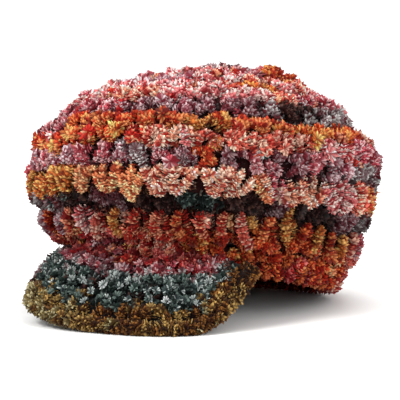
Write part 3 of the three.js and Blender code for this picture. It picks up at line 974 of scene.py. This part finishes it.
# the middle of the edging from one end to the other, every five degrees round the peak
def edgingMiddles():
    ends = [onBand(s * edging["endAngle"], peak["rootHeight"], edging["endOut"]) for s in (-1, 1)]
    line = [ends[0]] + [edgeLine(radians(t)) for t in range(-90, 91, 5)] + [ends[1]]
    spots = [onSheet(edgingTree, x, y, True) + onSheet(edgingTree, x, y, False) for x, y, _ in line]
    return np.array(spots) / 2


# the points of one short strand that lies round the edging, turned and spun by chance
def edgingStrand(middle, ahead, inward, upward, turn):
    spin = rng.normal(0, edging["spinSpread"])
    points = []
    for q in edging["along"]:
        angle = turn + q * cos(spin) * edging["length"] / peak["edgingHalfWide"]
        bulge = 1.0 - edging["bulge"] * q * q
        points.append(
            middle + ahead * q * sin(spin) * edging["length"]
            + inward * (peak["edgingHalfWide"] * bulge - edging["sunk"]) * cos(angle)
            + upward * (peak["edgingHalfThick"] * bulge - edging["sunk"]) * sin(angle)
        )
    return points


def workEdging():
    pile = newPile()
    names = edging["flecks"].split()
    middles = edgingMiddles()
    lengths = np.concatenate([[0], np.cumsum(np.linalg.norm(np.diff(middles, axis=0), axis=1))])

    def along(spot):
        return np.array([np.interp(spot, lengths, middles[:, j]) for j in range(3)])

    for spot in np.arange(edging["first"], lengths[-1], edging["spacing"]):
        ahead = unit(along(spot + edging["slopeStep"]) - along(spot - edging["slopeStep"]))
        inward = unit(np.cross([0, 0, 1], ahead))
        upward = np.cross(ahead, inward)
        start = rng.uniform(0, 2 * pi)
        for j in range(edging["around"]):
            turn = start + 2 * pi * (j + rng.normal(0, edging["turnSpread"])) / edging["around"]
            points = edgingStrand(along(spot), ahead, inward, upward, turn)
            facing = inward * cos(turn) + upward * sin(turn)
            yarn = yarnAt(edging["chart"], 100 * (spot / lengths[-1]))
            if rng.random() < edging["fleck"]:
                yarn = names[rng.integers(len(names))]
            radius = edging["radius"] * rng.uniform(*edging["radiusSpread"])
            addStrand(pile, points, radius, yarn, facing, shade=edging["shade"])
    workLip(pile)
    buildPile("edging_stitches", pile, pileDisc, "peak_edging", "edging_yarn")
    groundShell("edging_ground", "peak_edging", "edging_yarn", edgingGround)


def inLip(middle, step):
    def place(u, v, out):
        return onPeak(middle + u * step, lip["out"] - lip["width"] * v, out - lip["sunk"])

    return place


def workLip(pile):
    step = 2 / lip["count"]
    for k in range(lip["count"]):
        middle = -1 + (k + 0.5) * step
        yarn = yarnAt(edging["chart"], lip["chartMiddle"] + lip["chartReach"] * middle)
        workStitch(pile, "knot", inLip(middle, step), lip["radius"], yarn, edging["flecks"],
                   facing=lip["facing"], shade=edging["shade"])


workEdging()
print("edging worked")

# A plain pale floor, soft light and the camera
studio = {
    "azimuth": radians(28), "elevation": radians(7.5), "distance": 6.0, "lens": 743.0, "sensor": 36,
    "clip": 50, "target": (0.0, 0.0, 0.088), "right": 0.0044, "down": 0.0091, "world": 1.0,
}
paper = {"sides": 64, "radius": 9.0, "tone": (0.93, 0.93, 0.92, 1), "roughness": 0.9}
lamps = [
    {"name": "key", "place": (-0.5, -1.3, 1.3), "target": (0, 0, 0.08), "size": 0.7, "power": 22},
    {"name": "fill", "place": (1.5, -0.9, 0.7), "target": (0, 0, 0.08), "size": 0.9, "power": 10},
    {"name": "top", "place": (0.2, 0.4, 1.7), "target": (0, 0, 0.1), "size": 0.9, "power": 14},
]


def paleFloor():
    deselectAll()
    bpy.ops.mesh.primitive_circle_add(
        vertices=paper["sides"], radius=paper["radius"], fill_type="NGON", location=(0, 0, 0)
    )
    floor = bpy.context.object
    floor.name = "floor"
    material = bpy.data.materials.new("floor_paper")
    material.use_nodes = True
    shader = material.node_tree.nodes["Principled BSDF"]
    shader.inputs["Base Color"].default_value = paper["tone"]
    shader.inputs["Roughness"].default_value = paper["roughness"]
    floor.data.materials.append(material)


def lamp(name, place, target, size, power):
    light = bpy.data.lights.new(name, "AREA")
    light.shape = "SQUARE"
    light.size = size
    light.energy = power
    obj = bpy.data.objects.new(name, light)
    obj.location = place
    obj.rotation_euler = (Vector(target) - Vector(place)).to_track_quat("-Z", "Y").to_euler()
    bpy.context.scene.collection.objects.link(obj)


def lightAndCamera():
    world = bpy.data.worlds.new("studio")
    world.use_nodes = True
    sky = world.node_tree.nodes["Background"].inputs
    sky["Color"].default_value = (1, 1, 1, 1)
    sky["Strength"].default_value = studio["world"]
    bpy.context.scene.world = world
    for settings in lamps:
        lamp(**settings)
    a, e = studio["azimuth"], studio["elevation"]
    back = np.array([sin(a) * cos(e), -cos(a) * cos(e), sin(e)])
    right = np.array([cos(a), sin(a), 0])
    up = np.cross(back, right)
    target = np.array(studio["target"]) + right * studio["right"] - up * studio["down"]
    data = bpy.data.cameras.new("camera")
    data.lens = studio["lens"]
    data.sensor_width = studio["sensor"]
    data.clip_end = studio["clip"]
    camera = bpy.data.objects.new("camera", data)
    camera.location = target + back * studio["distance"]
    camera.rotation_euler = Vector(-back).to_track_quat("-Z", "Y").to_euler()
    bpy.context.scene.collection.objects.link(camera)
    bpy.context.scene.camera = camera
    bpy.context.scene.view_settings.view_transform = "Standard"


paleFloor()
lightAndCamera()
print("studio ready")

deselectAll()
